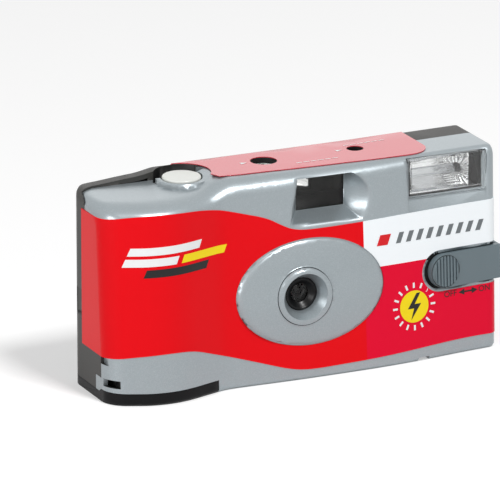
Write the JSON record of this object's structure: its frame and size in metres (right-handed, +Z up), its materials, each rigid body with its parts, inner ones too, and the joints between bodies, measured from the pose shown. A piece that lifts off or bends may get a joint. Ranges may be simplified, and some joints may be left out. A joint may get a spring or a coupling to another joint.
{
  "type": "single-use film camera",
  "caption": "Pocket single-use film camera with a curved grip, scooped viewfinder, built-in flash with a slide switch, thumbwheel and drop-down film door.",
  "frame": {"origin": "on the flat base, half way along the camera's width, about 16 mm in front of its flat back", "axes": "+X to the right as seen from in front, +Y from the lens to the back, +Z up"},
  "size_m": [0.1219, 0.0329, 0.059],
  "materials": {
    "silver_plastic": "satin silver moulding",
    "dark_grey_plastic": "fine matt moulding",
    "black_plastic": "matt black moulding",
    "red_label": "glossy printed film",
    "white_label": "glossy printed film",
    "white_plastic": "smooth white moulding",
    "grey_plastic": "blue-grey moulding",
    "clear_plastic": "clear moulding",
    "tube_glass": "clear glass",
    "lamp_glass": "clear glass with an orange electrode",
    "bright_reflector": "mirror bright foil",
    "film_base": "dark brown film",
    "cassette_paint": "painted tinplate",
    "spring_steel": "drawn wire",
    "black_steel": "blackened steel",
    "brass": "stamped brass",
    "board": "brown circuit board",
    "capacitor_sleeve": "shrunk sleeve",
    "transformer_core": "ferrite and yellow tape",
    "battery_jacket": "printed steel jacket"
  },
  "bodies": {
    "camera_body": {"front_cover": "silver_plastic", "rear_cover": "dark_grey_plastic", "front_label": "red_label", "top_label": "red_label", "back_label": "white_label", "chassis": "black_plastic", "cassette_shell": "cassette_paint", "film_strip": "film_base", "button_spring": "spring_steel", "shutter_plate": "black_plastic", "lens_holder": "black_plastic", "taking_lens": "clear_plastic", "blade_spring": "spring_steel", "striker_spring": "spring_steel", "viewfinder_front_lens": "clear_plastic", "viewfinder_rear_lens": "clear_plastic", "flash_window": "clear_plastic", "flash_reflector": "bright_reflector", "flash_tube": "tube_glass", "flash_board": "board", "flash_capacitor": "capacitor_sleeve", "flash_transformer": "transformer_core", "ready_lamp": "lamp_glass", "switch_contact": "brass", "battery": "battery_jacket", "battery_contact_negative": "brass", "battery_contact_positive": "brass"},
    "button": {"shutter_button": "white_plastic"},
    "rocker": {"metering_lever": "white_plastic"},
    "take_up": {"thumbwheel": "black_plastic", "cassette_spool": "black_plastic"},
    "sprocket_shaft": {"sprocket": "white_plastic", "advance_cam": "white_plastic"},
    "supply": {"supply_spool": "black_plastic", "film_roll": "film_base"},
    "counter": {"counter_disc": "white_plastic"},
    "blade": {"shutter_blade": "black_steel"},
    "striker": {"striker_lever": "spring_steel"},
    "switch_slider": {"flash_switch": "grey_plastic"},
    "door": {"film_door": "black_plastic"}
  },
  "joints": [
    {"name": "button_press", "type": "slide", "parent": "camera_body", "child": "button", "axis": [0, 0, -1], "range_m": [0, 0.0012], "stiffness_N_per_m": 500, "springref_m": -0.0003, "deforming": ["button_spring"]},
    {"name": "lever_rock", "type": "hinge", "parent": "camera_body", "child": "rocker", "pos_m": [-0.0255, 0.0081, 0.0512], "axis": [0, -1, 0], "range_deg": [0, 14.7], "deforming": ["button_spring"]},
    {"name": "thumbwheel_turn", "type": "hinge", "parent": "camera_body", "child": "take_up", "pos_m": [-0.045, 0.0028, 0.0489], "axis": [0, 0, 1], "continuous": true},
    {"name": "sprocket_turn", "type": "hinge", "parent": "camera_body", "child": "sprocket_shaft", "pos_m": [-0.018, 0.0084, 0.0386], "axis": [0, 0, 1], "continuous": true},
    {"name": "supply_turn", "type": "hinge", "parent": "camera_body", "child": "supply", "pos_m": [0.046, 0.0055, 0.0245], "axis": [0, 0, 1], "continuous": true},
    {"name": "counter_turn", "type": "hinge", "parent": "camera_body", "child": "counter", "pos_m": [-0.0084, 0.0074, 0.0561], "axis": [0, 0, 1], "continuous": true},
    {"name": "blade_swing", "type": "hinge", "parent": "camera_body", "child": "blade", "pos_m": [-0.0095, -0.0052, 0.03], "axis": [0, 1, 0], "range_deg": [0, 30], "stiffness_Nm_per_rad": 0.0002, "springref_deg": -28.65, "deforming": ["blade_spring"]},
    {"name": "striker_swing", "type": "hinge", "parent": "camera_body", "child": "striker", "pos_m": [-0.015, -0.0052, 0.036], "axis": [0, -1, 0], "range_deg": [0, 25], "stiffness_Nm_per_rad": 0.0004, "springref_deg": -28.65, "deforming": ["striker_spring"]},
    {"name": "flash_switch_slide", "type": "slide", "parent": "camera_body", "child": "switch_slider", "axis": [0.9923, 0.1236, 0], "range_m": [0, 0.0045]},
    {"name": "film_door_swing", "type": "hinge", "parent": "camera_body", "child": "door", "pos_m": [-0.0435, 0.0146, 0.00065], "axis": [1, 0, 0], "range_deg": [0, 100]}
  ],
  "couplings": [
    {"joint": "lever_rock", "follows": "button_press", "rad_per_m": 212.8},
    {"joint": "sprocket_turn", "follows": "thumbwheel_turn", "ratio": 1.5},
    {"joint": "supply_turn", "follows": "thumbwheel_turn", "ratio": 1.17},
    {"joint": "counter_turn", "follows": "thumbwheel_turn", "ratio": -0.0375}
  ]
}
